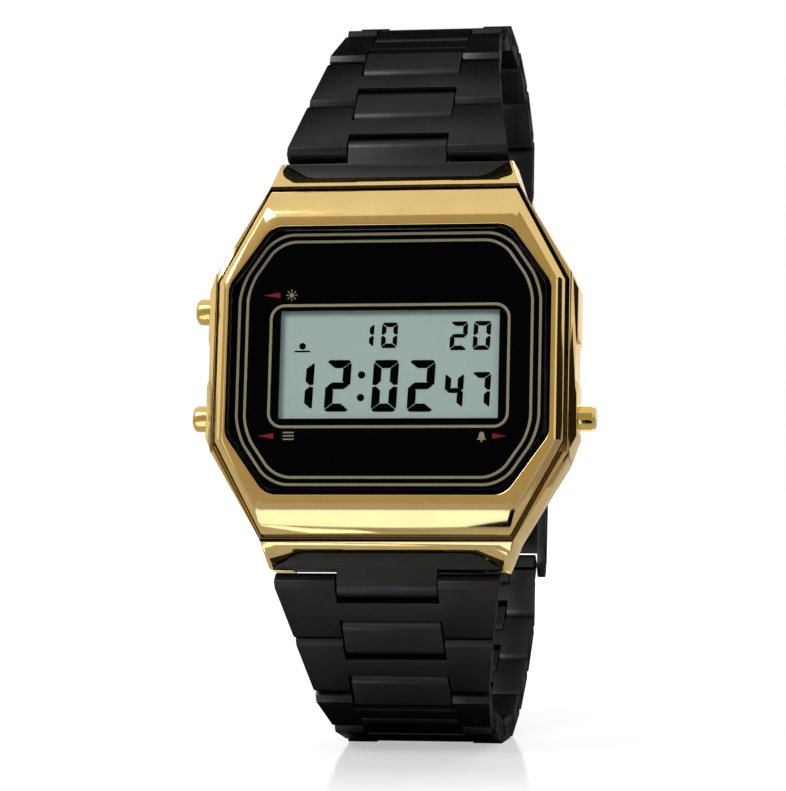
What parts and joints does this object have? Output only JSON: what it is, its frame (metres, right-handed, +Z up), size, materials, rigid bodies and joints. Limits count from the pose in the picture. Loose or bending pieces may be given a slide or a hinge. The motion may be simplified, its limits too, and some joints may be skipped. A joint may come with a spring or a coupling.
{
  "type": "digital watch",
  "caption": "Digital wristwatch with an eight-sided gold case, an LCD behind a dark crystal, side buttons and a black link bracelet that closes with a folding clasp, standing on the bracelet.",
  "frame": {"origin": "on the floor under the middle of the closed watch, midway between the crystal's lower edge and the clasp", "axes": "+X to the wearer's right when the face is read, +Y from the face to the clasp, +Z up towards twelve o'clock"},
  "size_m": [0.0364, 0.0548, 0.0686],
  "materials": {
    "gold_case": "polished gold plate",
    "black_steel": "satin black coated steel",
    "steel": "fine brushed",
    "crystal": "clear mineral glass",
    "dial": "gloss black print",
    "lcd": "grey-green liquid crystal glass",
    "light_plate": "white plate",
    "black_rubber": "matte seal",
    "grey_rubber": "matte striped rubber",
    "module_plastic": "moulded ivory",
    "board": "green lacquered board",
    "contact_metal": "stamped sheet"
  },
  "bodies": {
    "case": {"case_body": "gold_case", "bezel": "gold_case", "crystal": "crystal", "crystal_gasket": "black_rubber", "dial_panel": "dial", "lcd_panel": "lcd", "light_guide": "light_plate", "contact_strips": "grey_rubber", "module_frame": "module_plastic", "circuit_board": "board", "battery": "steel", "battery_clip": "contact_metal", "buzzer_disc": "contact_metal", "back_gasket": "black_rubber", "case_back": "steel", "back_screws": "steel", "spring_bars": "steel", "light_spring": "steel", "mode_spring": "steel", "alarm_spring": "steel", "upper_end_link": "black_steel", "lower_end_link": "black_steel"},
    "light_button": {"light_button": "gold_case"},
    "mode_button": {"mode_button": "gold_case"},
    "alarm_button": {"alarm_button": "gold_case"},
    "upper_1": {"upper_link_1": "black_steel", "upper_centre_1": "black_steel"},
    "upper_2": {"upper_link_2": "black_steel", "upper_centre_2": "black_steel"},
    "upper_3": {"upper_link_3": "black_steel", "upper_centre_3": "black_steel"},
    "upper_4": {"upper_link_4": "black_steel", "upper_centre_4": "black_steel"},
    "upper_5": {"upper_link_5": "black_steel", "upper_centre_5": "black_steel"},
    "upper_6": {"upper_link_6": "black_steel", "upper_centre_6": "black_steel"},
    "upper_7": {"upper_link_7": "black_steel", "upper_centre_7": "black_steel"},
    "upper_8": {"upper_link_8": "black_steel"},
    "lower_1": {"lower_link_1": "black_steel", "lower_centre_1": "black_steel"},
    "lower_2": {"lower_link_2": "black_steel", "lower_centre_2": "black_steel"},
    "lower_3": {"lower_link_3": "black_steel", "lower_centre_3": "black_steel"},
    "lower_4": {"lower_link_4": "black_steel", "lower_centre_4": "black_steel"},
    "lower_5": {"lower_link_5": "black_steel", "lower_centre_5": "black_steel"},
    "lower_6": {"lower_link_6": "black_steel", "lower_centre_6": "black_steel"},
    "lower_7": {"lower_link_7": "black_steel", "lower_centre_7": "black_steel"},
    "lower_8": {"lower_link_8": "black_steel", "lower_centre_8": "black_steel"},
    "lower_9": {"lower_link_9": "black_steel"},
    "clasp_plate": {"clasp_plate": "steel"},
    "clasp_blade": {"clasp_blade": "steel"},
    "clasp_cover": {"clasp_cover": "black_steel"}
  },
  "joints": [
    {"name": "light_press", "type": "slide", "parent": "case", "child": "light_button", "axis": [1, 0, 0], "range_m": [0, 0.0007], "stiffness_N_per_m": 1500, "deforming": ["light_spring"]},
    {"name": "mode_press", "type": "slide", "parent": "case", "child": "mode_button", "axis": [1, 0, 0], "range_m": [0, 0.0007], "stiffness_N_per_m": 1500, "deforming": ["mode_spring"]},
    {"name": "alarm_press", "type": "slide", "parent": "case", "child": "alarm_button", "axis": [-1, 0, 0], "range_m": [0, 0.0007], "stiffness_N_per_m": 1500, "deforming": ["alarm_spring"]},
    {"name": "upper_hinge_1", "type": "hinge", "parent": "case", "child": "upper_1", "pos_m": [0, -0.01864, 0.05473], "axis": [1, 0, 0], "range_deg": [0, 36]},
    {"name": "upper_hinge_2", "type": "hinge", "parent": "upper_1", "child": "upper_2", "pos_m": [0, -0.01397, 0.0594], "axis": [1, 0, 0], "range_deg": [0, 4]},
    {"name": "upper_hinge_3", "type": "hinge", "parent": "upper_2", "child": "upper_3", "pos_m": [0, -0.00899, 0.06373], "axis": [1, 0, 0], "range_deg": [0, 16]},
    {"name": "upper_hinge_4", "type": "hinge", "parent": "upper_3", "child": "upper_4", "pos_m": [0, -0.00301, 0.06652], "axis": [1, 0, 0], "range_deg": [0, 18]},
    {"name": "upper_hinge_5", "type": "hinge", "parent": "upper_4", "child": "upper_5", "pos_m": [0, 0.00354, 0.06732], "axis": [1, 0, 0], "range_deg": [0, 22]},
    {"name": "upper_hinge_6", "type": "hinge", "parent": "upper_5", "child": "upper_6", "pos_m": [0, 0.00992, 0.06562], "axis": [1, 0, 0], "range_deg": [0, 14]},
    {"name": "upper_hinge_7", "type": "hinge", "parent": "upper_6", "child": "upper_7", "pos_m": [0, 0.01569, 0.06242], "axis": [1, 0, 0], "range_deg": [0, 16]},
    {"name": "upper_hinge_8", "type": "hinge", "parent": "upper_7", "child": "upper_8", "pos_m": [0, 0.02036, 0.05775], "axis": [1, 0, 0], "range_deg": [0, 20]},
    {"name": "lower_hinge_1", "type": "hinge", "parent": "case", "child": "lower_1", "pos_m": [0, -0.02482, 0.01572], "axis": [-1, 0, 0], "range_deg": [0, 46]},
    {"name": "lower_hinge_2", "type": "hinge", "parent": "lower_1", "child": "lower_2", "pos_m": [0, -0.02085, 0.01045], "axis": [-1, 0, 0], "range_deg": [0, 4]},
    {"name": "lower_hinge_3", "type": "hinge", "parent": "lower_2", "child": "lower_3", "pos_m": [0, -0.01652, 0.00547], "axis": [-1, 0, 0], "range_deg": [0, 22]},
    {"name": "lower_hinge_4", "type": "hinge", "parent": "lower_3", "child": "lower_4", "pos_m": [0, -0.01064, 0.00247], "axis": [-1, 0, 0], "range_deg": [0, 15]},
    {"name": "lower_hinge_5", "type": "hinge", "parent": "lower_4", "child": "lower_5", "pos_m": [0, -0.00418, 0.0011], "axis": [-1, 0, 0], "range_deg": [0, 12]},
    {"name": "lower_hinge_6", "type": "hinge", "parent": "lower_5", "child": "lower_6", "pos_m": [0, 0.00242, 0.0011], "axis": [-1, 0, 0], "range_deg": [0, 18]},
    {"name": "lower_hinge_7", "type": "hinge", "parent": "lower_6", "child": "lower_7", "pos_m": [0, 0.0087, 0.00314], "axis": [-1, 0, 0], "range_deg": [0, 12]},
    {"name": "lower_hinge_8", "type": "hinge", "parent": "lower_7", "child": "lower_8", "pos_m": [0, 0.01441, 0.00644], "axis": [-1, 0, 0], "range_deg": [0, 9]},
    {"name": "lower_hinge_9", "type": "hinge", "parent": "lower_8", "child": "lower_9", "pos_m": [0, 0.01954, 0.01059], "axis": [-1, 0, 0], "range_deg": [0, 10]},
    {"name": "clasp_plate_hinge", "type": "hinge", "parent": "upper_8", "child": "clasp_plate", "pos_m": [0, 0.02315, 0.05177], "axis": [1, 0, 0], "range_deg": [0, 30]},
    {"name": "clasp_blade_hinge", "type": "hinge", "parent": "clasp_plate", "child": "clasp_blade", "pos_m": [0, 0.0243, 0.01918], "axis": [-1, 0, 0], "range_deg": [0, 140]},
    {"name": "clasp_cover_hinge", "type": "hinge", "parent": "clasp_blade", "child": "clasp_cover", "pos_m": [0, 0.02477, 0.0481], "axis": [1, 0, 0], "range_deg": [0, 140]}
  ],
  "couplings": [
    {"joint": "clasp_cover_hinge", "follows": "clasp_blade_hinge", "ratio": 1}
  ]
}
